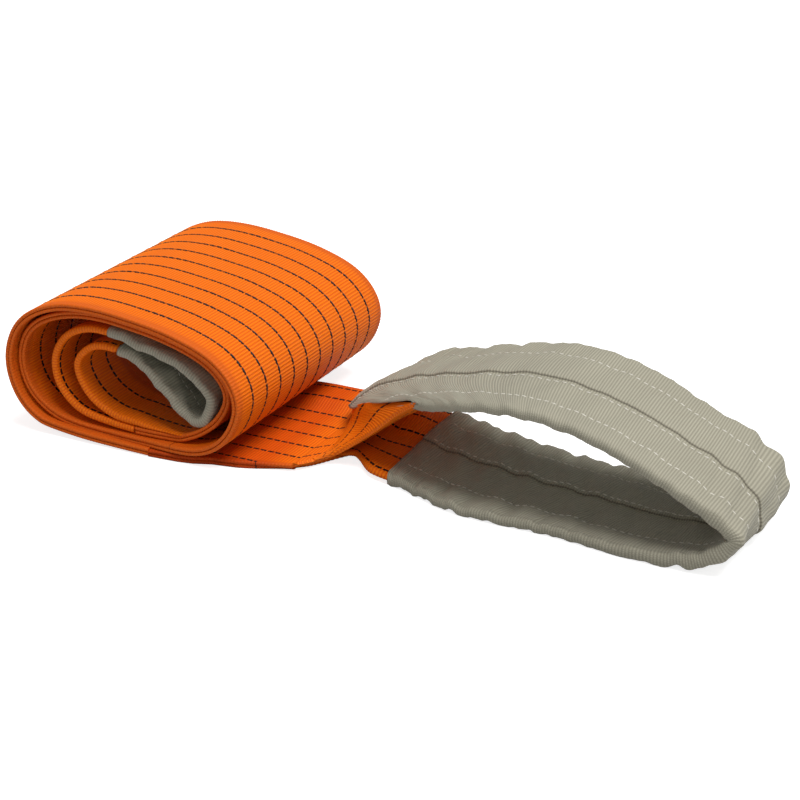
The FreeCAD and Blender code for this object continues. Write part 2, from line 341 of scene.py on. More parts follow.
def lineGroup():
    # the broken dark lines woven along the webbing
    tree, given, made = newGroup("markerLines", [
        ("Cloth", "NodeSocketVector", None), ("Pitch", "NodeSocketFloat", 0.027),
        ("Width", "NodeSocketFloat", 0.0013), ("Dash", "NodeSocketFloat", 0.008)],
        [("Mask", "NodeSocketFloat")])
    split = tree.nodes.new("ShaderNodeSeparateXYZ")
    tree.links.new(given["Cloth"], split.inputs[0])
    place = calc(tree, "DIVIDE", split.outputs[1], given["Pitch"])
    away = calc(tree, "MULTIPLY", calc(tree, "ABSOLUTE", calc(
        tree, "SUBTRACT", place, calc(tree, "ROUND", place))), given["Pitch"])
    onLine = calc(tree, "LESS_THAN", away, calc(tree, "MULTIPLY", given["Width"], 0.5))
    inside = calc(tree, "MULTIPLY", calc(tree, "GREATER_THAN", place, 0.5),
                  calc(tree, "LESS_THAN", place, webbing["lines"] + 0.5))
    dash = calc(tree, "FRACT", calc(tree, "DIVIDE", split.outputs[0], given["Dash"]))
    onDash = calc(tree, "LESS_THAN", calc(tree, "ABSOLUTE", calc(tree, "SUBTRACT", dash, 0.5)), 0.39)
    tree.links.new(calc(tree, "MULTIPLY", calc(tree, "MULTIPLY", onLine, inside), onDash), made["Mask"])
    return tree


def wearGroup():
    # soft patches of tone and fine fuzz
    tree, given, made = newGroup("wear", [
        ("Place", "NodeSocketVector", None), ("Patch", "NodeSocketFloat", 14.0),
        ("Fuzz", "NodeSocketFloat", 900.0)],
        [("Patches", "NodeSocketFloat"), ("Fuzz", "NodeSocketFloat")])
    for label, scale in (("Patches", "Patch"), ("Fuzz", "Fuzz")):
        spots = tree.nodes.new("ShaderNodeTexNoise")
        spots.inputs["Detail"].default_value = 3.0
        tree.links.new(given["Place"], spots.inputs["Vector"])
        tree.links.new(given[scale], spots.inputs["Scale"])
        tree.links.new(spots.outputs["Fac"], made[label])
    return tree


weave, markerLines, wear = weaveGroup(), lineGroup(), wearGroup()


def mixed(tree, kind, share, first, second):
    node = tree.nodes.new("ShaderNodeMix")
    node.data_type, node.blend_type = "RGBA", kind
    for socket, value in ((node.inputs[0], share), (node.inputs[6], first), (node.inputs[7], second)):
        if isinstance(value, bpy.types.NodeSocket):
            tree.links.new(value, socket)
        elif isinstance(value, tuple):
            socket.default_value = (*value, 1.0)
        else:
            socket.default_value = value
    return node.outputs[2]


def clothMaterial(name, values):
    # deep and bright are the weave's low and high places, the low ones darker as painted shade, light the
    # fuzz, rim the selvedge, and the shade tone the painted shade that multiplies the colour where a piece's
    # painted shade is 1
    material = bpy.data.materials.new(name)
    material.use_nodes = True
    tree = material.node_tree
    shader = tree.nodes["Principled BSDF"]
    coords = tree.nodes.new("ShaderNodeTexCoord")
    onCloth, onObject = coords.outputs["UV"], coords.outputs["Object"]
    pattern = useGroup(tree, weave, {"Cloth": onCloth, "Rib": values["rib"], "Yarn": values["yarn"]})
    worn = useGroup(tree, wear, {"Place": onObject, "Patch": values["patch"], "Fuzz": values["fuzz"]})
    # painted shade in the weave's low places
    tone = mixed(tree, "MIX", pattern["ValleyShade"], values["deep"], values["bright"])
    patches = calc(tree, "MULTIPLY", worn["Patches"], values["patchShare"])
    tone = mixed(tree, "MIX", patches, tone, values["deep"])
    fuzz = calc(tree, "MULTIPLY", worn["Fuzz"], values["fuzzShare"])
    tone = mixed(tree, "MIX", fuzz, tone, values["light"])
    rim = tree.nodes.new("ShaderNodeAttribute")
    rim.attribute_name = "selvedge"
    rimShare = calc(tree, "MULTIPLY", rim.outputs["Fac"], values["rimShare"])
    rimTone = mixed(tree, "MIX", worn["Fuzz"], values["rim"], values["deep"])
    tone = mixed(tree, "MIX", rimShare, tone, rimTone)
    # painted shade: the colour is multiplied darker by the piece's painted shade value
    paintedShade = tree.nodes.new("ShaderNodeAttribute")
    paintedShade.attribute_name = "painted_shade"
    tone = mixed(tree, "MULTIPLY", paintedShade.outputs["Fac"], tone, values["paintedShadeTone"])
    height = calc(tree, "ADD", pattern["Height"], calc(tree, "MULTIPLY", worn["Fuzz"], 0.8))
    if values["lines"]:
        mask = useGroup(tree, markerLines, {
            "Cloth": onCloth, "Pitch": linePitch * 0.001, "Width": webbing["printedLine"],
            "Dash": webbing["dashPitch"] * 0.001})["Mask"]
        tone = mixed(tree, "MIX", mask, tone, (0.012, 0.008, 0.008))
        height = calc(tree, "ADD", height, mask)
    bump = tree.nodes.new("ShaderNodeBump")
    bump.inputs["Strength"].default_value = values["bump"]
    bump.inputs["Distance"].default_value = 0.0004
    tree.links.new(height, bump.inputs["Height"])
    tree.links.new(bump.outputs["Normal"], shader.inputs["Normal"])
    tree.links.new(tone, shader.inputs["Base Color"])
    rough = calc(tree, "MULTIPLY_ADD", worn["Fuzz"], 0.2, values["rough"])
    tree.links.new(rough, shader.inputs["Roughness"])
    shader.inputs["Sheen Weight"].default_value = values["sheen"]
    shader.inputs["Sheen Roughness"].default_value = 0.5
    shader.inputs["Specular IOR Level"].default_value = values["specular"]
    return material


orangeCloth = clothMaterial("orangeWebbing", {
    "rib": webbing["rib"] * 0.001, "yarn": 0.0024, "deep": (0.66, 0.075, 0.001), "bright": (1.0, 0.26, 0.002),
    "light": (1.0, 0.33, 0.03), "rim": (0.58, 0.135, 0.014), "paintedShadeTone": (0.74, 0.5, 0.4),
    "patch": 9.0, "patchShare": 0.3, "fuzz": 1400.0, "fuzzShare": 0.1, "rimShare": 0.85,
    "bump": 0.7, "rough": 0.42, "sheen": 0.0, "specular": 0.14, "lines": True})
greyCloth = clothMaterial("greySleeve", {
    "rib": 0.0028, "yarn": 0.0013, "deep": (0.22, 0.205, 0.155), "bright": (0.56, 0.53, 0.405),
    "light": (0.62, 0.58, 0.48), "rim": (0.40, 0.36, 0.28), "paintedShadeTone": (0.4, 0.38, 0.36),
    "patch": 12.0, "patchShare": 0.5, "fuzz": 1500.0, "fuzzShare": 0.10, "rimShare": 0.2,
    "bump": 0.8, "rough": 0.5, "sheen": 0.08, "specular": 0.26, "lines": False})
labelCloth = clothMaterial("labelCloth", {
    "rib": 0.0008, "yarn": 0.0008, "deep": (0.03, 0.12, 0.42), "bright": (0.04, 0.16, 0.52),
    "light": (0.3, 0.4, 0.6), "rim": (0.05, 0.2, 0.6), "paintedShadeTone": (1.0, 1.0, 1.0),
    "patch": 30.0, "patchShare": 0.3, "fuzz": 2500.0, "fuzzShare": 0.1, "rimShare": 0.2,
    "bump": 0.2, "rough": 0.5, "sheen": 0.05, "specular": 0.3, "lines": False})


def threadMaterial(name, colour, rough):
    material = bpy.data.materials.new(name)
    material.use_nodes = True
    tree = material.node_tree
    shader = tree.nodes["Principled BSDF"]
    coords = tree.nodes.new("ShaderNodeTexCoord")
    worn = useGroup(tree, wear, {"Place": coords.outputs["Object"], "Patch": 25.0, "Fuzz": 2600.0})
    dark = tuple(c * 0.6 for c in colour)
    tone = mixed(tree, "MIX", calc(tree, "MULTIPLY", worn["Fuzz"], 0.8), colour, dark)
    tree.links.new(tone, shader.inputs["Base Color"])
    bump = tree.nodes.new("ShaderNodeBump")
    bump.inputs["Strength"].default_value = 0.4
    bump.inputs["Distance"].default_value = 0.0002
    tree.links.new(worn["Fuzz"], bump.inputs["Height"])
    tree.links.new(bump.outputs["Normal"], shader.inputs["Normal"])
    shader.inputs["Roughness"].default_value = rough
    return material


blackYarn = threadMaterial("blackYarn", (0.012, 0.009, 0.009), 0.7)
paleThread = threadMaterial("paleThread", (0.80, 0.77, 0.68), 0.6)
print("materials made")


def finished(piece, material, replaces=(), body=None, joint=None):
    piece.data.materials.append(material)
    if replaces:
        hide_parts(*replaces)
    if joint is None:
        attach(piece, body)
    else:
        start, end = tuple(toFrame(joint["start"])), tuple(toFrame(joint["end"]))
        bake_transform(piece)
    return piece


# runs beside the roll and at the crotch of the open eye; the pieces given one are only baked in place and the
# run itself is not used
tailBend = {"from": "roll", "to": "tail", "start": (-25, 118, 6), "end": (35, 118, 6)}
eyeBend = {"from": "tail", "to": "open_eye", "start": (42, 124, 16), "end": (150, 124, 16)}

# the roll
ply = webbing["ply"]
rollRoute = {
    "corners": [
        (4, 3.85), (-216, 3.85), (-262, 27), (-277, 74), (-262, 118), (-220, 142), (-166, 147),
        (-84, 137), (-26, 116), (0, 80), (-12, 40), (-42, 15.9), (-84, 11.9), (-208, 11.9),
        (-251, 34), (-267, 74), (-252, 113), (-214, 132), (-166, 137.5), (-86, 127), (-38, 107),
        (-17, 78), (-32, 48), (-53, 31.5), (-73, 22.5), (-81, 20.5), (-130, 20.5)],
    "tailSplit": -108.0, "turnSplit": (-84, 11.9), "coreSplit": (-17, 78),
    "secondSetback": 8.0, "coreSetback": 12.0, "wander": 1.6}


def rollCreep(u, a):
    # each turn sits a little further in, and the near selvedge wanders
    second, core = rollRoute["secondSetback"], rollRoute["coreSetback"]
    back = (second * smoothStep(splits[1] - 60, splits[1] + 90, u)
            + (core - second) * smoothStep(splits[2] - 120, splits[2] + 40, u))
    wander = rollRoute["wander"] * softWaves(u, 0 * u, 7, 260)
    return back + wander * smoothStep(splits[0], splits[0] + 120, u)


roll = Roll(rollRoute["corners"], rollCreep)
rollStart = rollRoute["corners"][0][0]
splits = [rollStart - rollRoute["tailSplit"], roll.nearest(rollRoute["turnSplit"]),
          roll.nearest(rollRoute["coreSplit"]), roll.length]  # where each turn ends, along the route
flatRing = section([(0, 0), (100, 0), (200, 0), (300, 0)], ply, step=6.5)


def ribStations(first, last, perRib=3):
    pitch = webbing["rib"] / perRib
    return np.append(np.arange(first, last, pitch), last)


# turn, layer, first and last split, and whether its broad face is seen and so needs real ribs
rollPlies = (
    ("outer_turn", "outer", 0, 1, True), ("outer_turn", "inner", 0, 1, False),
    ("second_turn", "outer", 1, 2, False), ("second_turn", "inner", 1, 2, True),
    ("core_turn", "outer", 2, 3, False), ("core_turn", "inner", 2, 3, True))
for turn, layer, first, last, ribbed in rollPlies:
    lift = webbing["plyLift"] if layer == "outer" else -webbing["plyLift"]
    ring = flatRing.copy()
    ring[:, 1] += lift
    if ribbed:
        stations = ribStations(splits[first], splits[last])
    else:
        stations = np.linspace(splits[first], splits[last], int((splits[last] - splits[first]) / 3.5))
    node = f"{turn}_{layer}_ply"
    ribs = webbing["ribHeight"] if ribbed else 0.0
    piece = strap(node + "_cloth", stations, ring, roll.place, ribs=ribs)
    nodes = [node]
    if node == "outer_turn_outer_ply":
        nodes.append("edge_seams")
    finished(piece, orangeCloth, nodes, body="roll")

yarnHeight = 2 * webbing["plyLift"] - 0.15 + webbing["ribHeight"] * 0.3
tracks = [(linePitch * k, yarnHeight, splits[0] + 4, splits[1]) for k in range(1, webbing["lines"] + 1)]


def unsteady(u, a, n):
    # the woven lines wander a little
    return roll.place(u, a + 0.9 * softWaves(u, a * 2.5, 41, 110), n)


yarns = beads("marker_yarns_woven", unsteady, tracks, webbing["dash"], webbing["dashPitch"])
finished(yarns, blackYarn, ["marker_yarns"], body="roll")
print("roll made")

# the eye stored in the core
stored = {
    "corners": [
        (-130, 20.5), (-186, 23.5), (-217, 42), (-229, 74), (-215, 106), (-184, 122), (-150, 120),
        (-104, 108), (-62, 94), (-39, 73), (-45, 48), (-64, 40), (-80, 54), (-106, 84), (-148, 105),
        (-180, 104), (-203, 78), (-184, 44), (-158, 30.5), (-130, 28.6), (-100, 25.6), (-72, 25.8)],
    "sleeve": ((-158, 121), (-150, 105)), "sleeveWidth": 153.0, "sleeveThick": 4.9,
    "setback": 12.0, "half": 75, "rows": (-48, 0, 48), "stitch": (4.6, 1.1, 0.8), "stitchPitch": 7.0}
coreEdge = rollCreep(np.array([roll.length]), 0)[0]


def storedCreep(u, a):
    # the stored eye starts in line with the core and then wanders on its own
    drift = smoothStep(0, 60, u)
    edge = stored["setback"] + 1.5 * softWaves(u, 0 * u, 11, 150)
    return coreEdge * (1 - drift) + edge * drift + stored["half"]


storedRoll = Roll(stored["corners"], storedCreep)
# 300 mm of webbing folded to 150 mm, its two edges meeting at the middle
foldRing = section(
    [(-1, 2.0), (-40, 2.0), (-72, 2.0), (-75, 2.0), (-75, -2.0), (-72, -2.0), (0, -2.0), (72, -2.0),
     (75, -2.0), (75, 2.0), (72, 2.0), (40, 2.0), (1, 2.0)], 3.5, step=6.0, bend=30)
sleeveSpan = [storedRoll.nearest(corner) for corner in stored["sleeve"]]


def storedLeg(u, a, n):
    # narrower inside the sleeve, and thinning out where the inner leg joins the core
    first, last = sleeveSpan
    inside = smoothStep(first - 3, first + 6, u) * (1 - smoothStep(last - 6, last + 3, u))
    thin = (1 - 0.3 * inside) * (1 - 0.85 * smoothStep(storedRoll.length - 75, storedRoll.length - 2, u))
    return storedRoll.place(u, a * (1 - 0.07 * inside), n * thin)


stations = ribStations(1, storedRoll.length - 1, 2.5)
piece = strap("stored_eye_webbing_cloth", stations, foldRing, storedLeg, ribs=0.2)
finished(piece, orangeCloth,
         ["stored_eye_webbing", "stored_eye_near_flap", "stored_eye_far_flap"], body="roll")


def tubeRing(width, thick, points=34):
    # the outline of a flattened tube, round at its two folds. The place on the cloth starts at the middle
    straight, radius = width / 2 - thick / 2, thick / 2
    half = np.linspace(-1, 1, points)
    wide = straight * np.sign(half) * np.abs(half) ** 0.9
    besideLap = (-1.4, 0.4, 1.4, 2.4, 3.8, 6.0)
    wide = np.unique(np.concatenate((wide, besideLap)))
    top = [(a, radius, 1) for a in wide]
    turn = [(straight + radius * math.cos(t), radius * math.sin(t), 0)
            for t in np.radians((60, 30, 0, -30, -60))]
    ring = top + turn + [(a, -radius, 1) for a in wide[::-1]] + [(-a, -n, 0) for a, n, _ in turn]
    a, n, face = np.array(ring).T
    run = np.concatenate(([0], np.cumsum(np.hypot(np.diff(a), np.diff(n)))))
    return np.column_stack((a, n, run, np.zeros(len(a)), face))


def sleeveTube(name, surface, stations, width, thick, shape, wall=1.4, lap=None):
    # a sewn tube of thin cloth. shape(u, a, side) gives its puckers and slack, and lap the place of the
    # painted shadow line where one edge laps the other
    ring = tubeRing(width, 2 * thick)

    def place(u, a, n):
        return surface.place(u, a, n + shape(u, a, np.sign(n)))
    piece = strap(name, stations, ring, place)
    # painted shadow: the column along the lapped edge is darkened
    if lap:
        onLap = np.abs(ring[:, 0] - lap) < 0.3
        acrossAt = np.array([corner.vector[1] for corner in piece.data.uv_layers["cloth"].uv])
        which = np.empty(len(piece.data.loops), np.int32)
        piece.data.loops.foreach_get("vertex_index", which)
        dark = np.zeros(len(piece.data.vertices), np.float32)
        dark[which[np.isin(np.round(acrossAt, 6), np.round(ring[onLap, 2] * 0.001, 6))]] = 1
        piece.data.attributes["painted_shade"].data.foreach_set("value", dark)
    bm = bmesh.new()
    bm.from_mesh(piece.data)
    bmesh.ops.delete(bm, geom=[f for f in bm.faces if len(f.verts) > 4], context="FACES_ONLY")
    bm.to_mesh(piece.data)
    bm.free()
    skin = piece.modifiers.new("wall", "SOLIDIFY")
    skin.thickness, skin.offset = wall * 0.001, -1
    return piece


def storedShape(u, a, side):
    rows = sum(np.exp(-((a - row) / 3.0) ** 2) for row in stored["rows"])
    slack = smoothStep(110, 190, u - sleeveSpan[0]) * (1 - smoothStep(230, 300, u - sleeveSpan[0]))
    loose = (1.8 + 1.5 * slack) * softWaves(u, a, 23, 42) * (0.4 + 0.6 * np.abs(a) / stored["half"])
    return side * (-0.9 * rows + 0.6) + loose


stations = np.arange(sleeveSpan[0], sleeveSpan[1], 3.0)
piece = sleeveTube("stored_eye_sleeve_cloth", storedRoll, stations, stored["sleeveWidth"],
                   stored["sleeveThick"], storedShape)
finished(piece, greyCloth, ["stored_eye_sleeve"], body="roll")


def onShape(surface, shape):
    # the place of a stitch on the puckered sleeve
    def place(u, a, n):
        return surface.place(u, a, n + shape(u, a, np.sign(n)))
    return place


tracks = [(row, side * 5.1, sleeveSpan[0] + 4, sleeveSpan[1] - 4)
          for row in stored["rows"] for side in (-1, 1)]
piece = beads("stored_eye_seams_sewn", onShape(storedRoll, storedShape), tracks, stored["stitch"],
              stored["stitchPitch"])
finished(piece, paleThread, ["stored_eye_seams"], body="roll")
print("stored eye made")

# the blank label inside the core
label = {"thick": 0.6, "bow": 0.7, "lift": 0.5, "stitch": (2.6, 0.9, 0.6), "stitchPitch": 3.6, "inset": 5}
labelBox = [np.array(corner) * 1000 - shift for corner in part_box("identification_label")]
(labelX, labelNear, labelZ), (labelEnd, labelFar, labelTop) = labelBox
labelWide, labelLong = labelEnd - labelX, labelFar - labelNear


def labelPlace(u, a, n):
    height = (labelZ + labelTop) / 2 + n + label["lift"] + label["bow"] * np.sin(math.pi * a / labelWide)
    return np.column_stack((labelX + a, labelNear + u, height))


labelRing = section([(0, 0), (12, 0), (24, 0), (labelWide, 0)], label["thick"], step=3)
stations = np.linspace(0, labelLong, 40)
piece = strap("identification_label_cloth", stations, labelRing, labelPlace, uneven=0.25)
finished(piece, labelCloth, ["identification_label"], body="roll")


def labelAcross(u, a, n):
    # for the rows of stitches, which run across the label
    return labelPlace(a, u, n)


tracks = [(row, 0.5, 1, labelWide - 1) for row in (label["inset"], labelLong - label["inset"])]
piece = beads("label_stitching_sewn", labelAcross, tracks, label["stitch"], label["stitchPitch"])
finished(piece, paleThread, ["label_stitching"], body="roll")

# the tail: two plies whose far edges fold in between them
tail = {"near": [(-108, 0), (-75, 2), (-59, 5), (-41, 12), (-14, 17), (15, 26), (38, 33)],
        "first": -108.0, "last": 38.0, "lineShift": 3.0, "lowerZ": 1.85, "upperZ": 5.85, "lowerEdge": 6.0}
tailNear = np.array(tail["near"], float)


def tailPlace(base, lowerEdge):
    # flat on the floor, with a near edge that swings in towards the crotch
    def place(u, a, n):
        near = np.interp(u, *tailNear.T) + lowerEdge * smoothStep(-10, 38, u)
        y = np.where(a < 60, near + (60 - near) * a / 60, a)
        return np.column_stack((u, y, base + n))
    return place


def mixRings(first, last, low, high):
    # one outline turns into another between two places along the cloth
    def ringAt(u, j):
        share = smoothStep(low, high, u)[:, None]
        return first[j] * (1 - share) + last[j] * share
    return ringAt


def stripRing(corners, wall, count=60):
    # the same count of places for every fold, so that one outline can turn into another
    line, run = roundedLine(corners, 0.25)
    tangent = np.gradient(line, axis=0)
    turn = np.unwrap(np.arctan2(tangent[:, 1], tangent[:, 0]))
    inner = np.linspace(0, 1, count)[1:-1] * (run[-1] - 6) + 3
    t = np.concatenate(([0, 1.5], inner, [run[-1] - 1.5, run[-1]]))
    a, n, turn = (np.interp(t, run, values) for values in (line[:, 0], line[:, 1], turn))
    half = wall / 2
    edge = 1 - smoothStep(6, 10, np.minimum(t, run[-1] - t))
    ones = np.ones(len(t))
    top = np.column_stack((a - np.sin(turn) * half, n + np.cos(turn) * half, t, edge, ones))
    low = np.column_stack((a + np.sin(turn) * half, n - np.cos(turn) * half, t, edge, ones))[::-1]
    past = half * 0.8
    tip = [(a[-1] + math.cos(turn[-1]) * past, n[-1] + math.sin(turn[-1]) * past, t[-1], 1, 0)]
    root = [(a[0] - math.cos(turn[0]) * past, n[0] - math.sin(turn[0]) * past, t[0], 1, 0)]
    return np.vstack((top, tip, low, root))


flatCorners = [(0, 0), (100, 0), (200, 0), (276, 0)]
lowerFold = [(0, 0), (120, 0), (218, 0), (224, 0), (224, 3.9), (218, 3.9), (173, 3.9)]
upperFold = [(0, 0), (100, 0), (150, 0), (166, 0), (182, 7.8), (196, 7.8), (217, 7.8), (224, 7.8),
             (224, 3.9), (217, 3.9), (186, 3.9)]
tailPlies = (
    ("tail_lower_ply", lowerFold, tail["lowerZ"], tail["lowerEdge"],
     ["tail_lower_ply", "tail_far_flap_lower", "crotch_stitching"]),
    ("tail_upper_ply", upperFold, tail["upperZ"], 0.0, ["tail_upper_ply", "tail_far_flap_upper"]))
for node, corners, base, lowerEdge, nodes in tailPlies:
    stations = ribStations(tail["first"], tail["last"])
    openRing, tailFold = stripRing(flatCorners, ply), stripRing(corners, ply)

    def flatPlace(u, t, points):
        # the woven lines run straight on from the roll, and stop where the edge cuts them off
        across = np.where(t < 150, points[:, 1] * 1000 - shift[1], t) + tail["lineShift"]
        return u, np.where(u > 4, np.maximum(across, linePitch + 2), across)
    # painted shade: the tail's colour is darkened fully up to the roll's side, easing towards the crotch
    piece = strap(node + "_cloth", stations, openRing, tailPlace(base, lowerEdge), ribs=0.18,
                  flat=flatPlace, ringAt=mixRings(openRing, tailFold, -95, -8),
                  painted_shade=lambda u: 1 - 0.75 * smoothStep(5, 38, u))
    finished(piece, orangeCloth, nodes, joint=tailBend)
print("tail made")

# the crotch: the upper leg's near edge turns up and over, and the lower leg stays down
upperGuides = [
    [(38, 34, 5.9), (60, 62, 8), (82, 68, 21), (102, 66, 37), (122, 59, 54), (146, 50, 76),
     (171, 38, 95)],
    [(38, 85, 5.9), (60, 98, 10), (80, 103, 19), (100, 100, 34), (122, 95, 51), (146, 88, 67),
     (170, 80, 82)],
    [(38, 130, 5.9), (55, 138, 11), (72, 144, 22), (92, 140, 39), (115, 133, 55), (140, 126, 68),
     (170, 115, 83)],
    [(38, 180, 11), (58, 184, 19), (78, 184, 34), (103, 181, 51), (128, 175, 64), (150, 166, 75),
     (172, 158, 84)],
    [(38, 223, 12), (56, 222, 20), (75, 218, 34), (100, 211, 53), (125, 204, 66), (150, 196, 77),
     (175, 189, 86)]]
upperCrotch = Loft(upperGuides, (30, 85, 130, 180, 226))
rootRing = section([(30, 0), (80, 0), (150, 0), (226, 0)], 3.5, step=6, first=33)
flapRing = section([(0, 0), (30, 0), (50, 0), (75, 0)], 3.4, step=4)
rootRing[:, 3], flapRing[:, 3] = 0, 0


# painted shade where the crotch meets the tail, fading over its first 40 mm
def rootPaintedShade(u):
    return 0.25 * (1 - smoothStep(0, 40, u))


stations = ribStations(0, upperCrotch.length)
piece = strap("open_eye_upper_root_cloth", stations, rootRing, upperCrotch.place, ribs=0.18,
              painted_shade=rootPaintedShade)
finished(piece, orangeCloth, joint=eyeBend)

flapGuides = [
    [(38, 33, 8), (52, 48, 9), (60, 66, 11), (61, 92, 16), (58, 118, 22), (53, 136, 26), (47, 148, 27)],
    [(39, 33, 8), (55, 53, 9), (66, 70, 15), (72, 88, 24), (74, 102, 33), (75, 108, 43), (80, 108, 53)],
    [(40, 34, 7.5), (58, 58, 9), (74, 72, 19), (88, 82, 31), (98, 86, 47), (109, 83, 62), (124, 79, 74)],
    [(40, 34, 6.5), (60, 62, 8), (82, 68, 22), (102, 66, 38), (122, 59, 55), (146, 50, 78),
     (172, 37, 97)]]
flap = Loft(flapGuides, (0, 25, 50, 75))
piece = strap("tail_near_flap_cloth", ribStations(2, flap.length), flapRing, flap.place, ribs=0.22,
              painted_shade=rootPaintedShade)
finished(piece, orangeCloth, ["tail_near_flap"], joint=eyeBend)

lowerGuides = [
    [(38, 42, 0.9), (54, 58, 2), (68, 76, 4), (80, 85, 6), (98, 71, 6.5), (114, 57, 6.5),
     (136, 50, 6.2), (162, 42, 6)],
    [(38, 85, 0.9), (56, 96, 2), (74, 106, 4), (90, 106, 7), (105, 101, 8), (120, 98, 7), (135, 95, 6),
     (163, 90, 6)],
    [(38, 118, 0.9), (56, 125, 3), (74, 132, 6), (92, 134, 8), (108, 134, 8), (122, 134, 7),
     (135, 134, 6.2), (165, 126, 6)],
    [(38, 170, 0.9), (60, 172, 5), (80, 170, 12), (96, 168, 17), (112, 168, 18), (125, 168, 15),
     (139, 168, 12), (168, 160, 9)],
    [(38, 222, 1.5), (60, 214, 8), (78, 204, 17), (92, 197, 24), (108, 194, 21), (122, 196, 20),
     (140, 196, 19), (172, 190, 15)]]
lowerCrotch = Loft(lowerGuides, (0, 40, 75, 112, 150))
shortFlaps = [(30, 1), (15, 0.5), (3, 0), (0, 0.5), (3, 1.9), (75, 1.9), (147, 1.9), (150, 0.5), (147, 0),
              (135, 0.5), (120, 1)]
longFlaps = [(73, -2), (40, -2), (3, -2), (-1, 0), (3, 1.9), (75, 1.9), (147, 1.9), (151, 0), (147, -2),
             (110, -2), (77, -2)]
shortRing, longRing = stripRing(shortFlaps, 3.3, 80), stripRing(longFlaps, 3.3, 80)
stations = ribStations(0, lowerCrotch.length)
piece = strap("open_eye_lower_root_cloth", stations, longRing, lowerCrotch.place, ribs=0.3,
              ringAt=mixRings(shortRing, longRing, 10, 70))
finished(piece, orangeCloth, joint=eyeBend)
print("crotch made")

# the open eye
eye = {
    "near": [(162, 41, 92), (178, 35, 98), (196, 29, 102), (216, 22, 108), (240, 17, 114),
             (270, 14, 118), (304, 13, 118), (345, 12, 112), (392, 8, 99), (438, 4, 81), (480, 4, 60),
             (503, 4, 39), (484, 4, 20), (450, 4, 9), (400, 5, 6.2), (333, 14, 6), (279, 15, 6),
             (221, 19, 6), (180, 34, 6), (136, 50, 6)],
    "centre": [(49, 147, 27), (68, 149, 45), (100, 142, 63), (136, 131, 79), (180, 115, 95),
               (232, 101, 111), (284, 95, 119), (334, 90, 115), (386, 84, 103), (436, 79, 84),
               (478, 77, 62), (498, 77, 34), (486, 77, 15), (452, 77, 8), (412, 79, 6.2),
               (355, 88, 6), (300, 95, 6), (245, 105, 6), (190, 117, 6), (131, 136, 6)],
    "far": [(67, 224, 28), (95, 220, 50), (125, 214, 76), (160, 202, 90), (198, 188, 104),
            (238, 181, 116), (285, 173, 126), (332, 166, 125), (384, 161, 111), (434, 154, 91),
            (478, 151, 72), (503, 149, 38), (488, 149, 14), (454, 150, 9), (418, 153, 7),
            (366, 164, 8), (311, 170, 8), (254, 179, 9), (197, 188, 13), (141, 198, 19)],
    "rows": (-48, 0, 48), "thick": 4.9, "stitch": (5.6, 1.5, 1.1), "stitchPitch": 7.8,
    "sleeveWidth": 153.0, "rowDip": 0.9, "puff": 0.7, "tipPuff": 1.6, "lap": 1.8, "lapAt": 1.4,
    "crest": 5.0, "valley": 3.6, "scallopPitch": 19, "tipStart": (360, 430), "tipEnd": (500, 600),
    "lowerStart": (560, 640)}
eyeSurface = Loft([eye["near"], eye["centre"], eye["far"]], (-75, 0, 75), side=-1)


def eyeShape(u, a, side):
    # sewn rows pull in, the cloth between them puffs out, and the bends and the crotch wrinkle
    total = eyeSurface.length
    rows = sum(np.exp(-((a - row) / 3.2) ** 2) for row in eye["rows"])
    tip = smoothStep(*eye["tipStart"], u) * (1 - smoothStep(*eye["tipEnd"], u))
    lower = smoothStep(*eye["lowerStart"], u)
    crotch = 1 - smoothStep(60, 200, u)
    edge = smoothStep(45, 75, np.abs(a))
    mouth = side * (2.0 * smoothStep(total - 28, total, u) - (side > 0) * (
        2.3 + 2.4 * smoothStep(30, 68, -a)) * (1 - smoothStep(0, 45, u)))
    crest = eye["crest"] * (side > 0) * np.exp(-(a / 34) ** 2) * (1 - smoothStep(20, 150, u))
    valley = eye["valley"] * (side < 0) * np.exp(-(a / 7) ** 2) * smoothStep(total - 330, total - 60, u)
    puff = side * (-eye["rowDip"] * rows + eye["puff"] + eye["tipPuff"] * tip)
    scallop = edge * (0.25 + 0.6 * lower + 0.5 * tip + 0.15 * (a > 0)) * np.sin(
        2 * math.pi * u / eye["scallopPitch"] + 2.6 * softWaves(u, 0 * u, 5, 120))
    crease = (1.2 + 1.6 * crotch * smoothStep(-20, 60, a) + 0.9 * lower) * softWaves(u, a * 0.5, 31, 36)
    diagonal = 2.1 * crotch * smoothStep(-10, 60, a) * np.sin((u * 0.9 - a * 1.1) / 7.5)
    bunch = 1.6 * tip * (side < 0) * np.sin(u / 4.2 + a / 40)
    overlap = eye["lap"] * side * smoothStep(0.6, 2.4, a) * (1 - smoothStep(30, 60, a))
    ends = smoothStep(0, 12, u) * (1 - smoothStep(total - 12, total, u))
    wrinkles = (puff + scallop + crease + diagonal + bunch) * (0.35 + 0.65 * ends)
    return wrinkles + overlap + crest + valley + mouth


eyeLength = eyeSurface.length


class SleeveSurface:
    # the eye's surface with one lip of the sleeve drawn back at the upper mouth
    @staticmethod
    def place(u, a, n):
        start = 1 - smoothStep(0, 50, u)
        back = 9 * (n < 0) * start * smoothStep(16, 40, np.abs(a))
        return eyeSurface.place(u + back - 4 * start * np.exp(-(a / 34) ** 2), a, n)


stations = np.arange(0, eyeLength, 2.6)
piece = sleeveTube("open_eye_sleeve_cloth", SleeveSurface, stations, eye["sleeveWidth"],
                   eye["thick"] + 0.4, eyeShape, lap=eye["lapAt"])
finished(piece, greyCloth, ["open_eye_sleeve"], joint=eyeBend)


